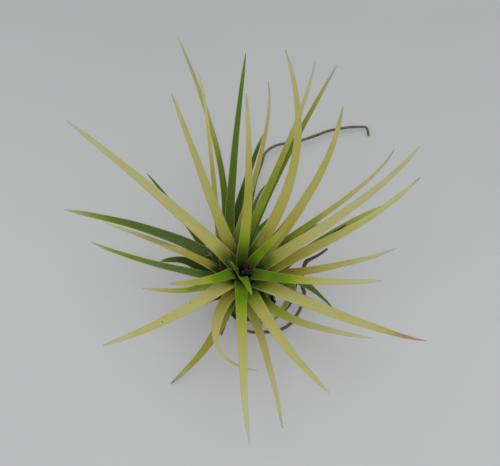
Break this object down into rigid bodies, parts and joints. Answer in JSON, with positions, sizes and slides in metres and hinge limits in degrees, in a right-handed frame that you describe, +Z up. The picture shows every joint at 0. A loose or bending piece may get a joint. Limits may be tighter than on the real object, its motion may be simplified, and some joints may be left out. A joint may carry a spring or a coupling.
{
  "type": "air plant",
  "caption": "Loose rosette of narrow channelled leaves on a short leaning stem with wiry roots, resting on its foot and low leaf tips.",
  "frame": {"origin": "middle of the flat spot under the stem's foot, on the surface that the plant rests on", "axes": "+Z up, away from the surface; +Y from the foot towards the longest leaves, at the back; +X to the right of somebody who looks along +Y"},
  "size_m": [0.0994, 0.1232, 0.0563],
  "materials": {
    "stem_husk": "matte",
    "dry_root": "matte",
    "spent_flower": "matte",
    "young_leaf": "satin",
    "blushed_leaf": "satin",
    "old_leaf": "matte"
  },
  "bodies": {
    "root": {"stem": "stem_husk", "flower_stub": "spent_flower", "leaf_bud_left": "young_leaf", "leaf_bud_front": "young_leaf", "leaf_crown_back": "young_leaf", "leaf_crown_left": "young_leaf", "leaf_crown_front": "young_leaf", "leaf_crown_right": "young_leaf", "leaf_crown_slant": "young_leaf", "leaf_gold_left": "blushed_leaf", "leaf_gold_front_left": "blushed_leaf", "leaf_gold_front_right": "blushed_leaf", "leaf_gold_right": "blushed_leaf", "leaf_gold_back": "blushed_leaf", "leaf_straw_back_left": "blushed_leaf", "leaf_straw_back_right": "blushed_leaf", "leaf_straw_right": "blushed_leaf", "leaf_straw_front": "blushed_leaf", "leaf_straw_hooked": "blushed_leaf", "leaf_straw_left": "blushed_leaf", "leaf_olive_right": "blushed_leaf", "leaf_olive_back_right": "blushed_leaf", "leaf_olive_back_tall": "blushed_leaf", "leaf_olive_back": "blushed_leaf", "leaf_olive_back_left": "blushed_leaf", "leaf_olive_left": "blushed_leaf", "leaf_olive_front_left": "blushed_leaf", "leaf_olive_front": "blushed_leaf", "leaf_green_right_low": "old_leaf", "leaf_green_right_short": "old_leaf", "leaf_green_back_right": "old_leaf", "leaf_green_back": "old_leaf", "leaf_green_left_broad": "old_leaf", "leaf_green_left": "old_leaf", "leaf_green_back_broad": "old_leaf", "leaf_outer_right": "old_leaf", "leaf_outer_back_right": "old_leaf", "leaf_outer_back_low": "old_leaf", "leaf_outer_back_tall": "old_leaf", "leaf_outer_back_left": "old_leaf", "leaf_outer_left_short": "old_leaf", "leaf_outer_left_low": "old_leaf", "leaf_outer_front_left": "old_leaf", "leaf_outer_front": "old_leaf", "leaf_outer_front_right": "old_leaf", "leaf_olive_front_right": "blushed_leaf", "leaf_outer_right_curled": "old_leaf", "root_long": "dry_root", "root_loop": "dry_root", "root_thin": "dry_root"}
  },
  "joints": []
}
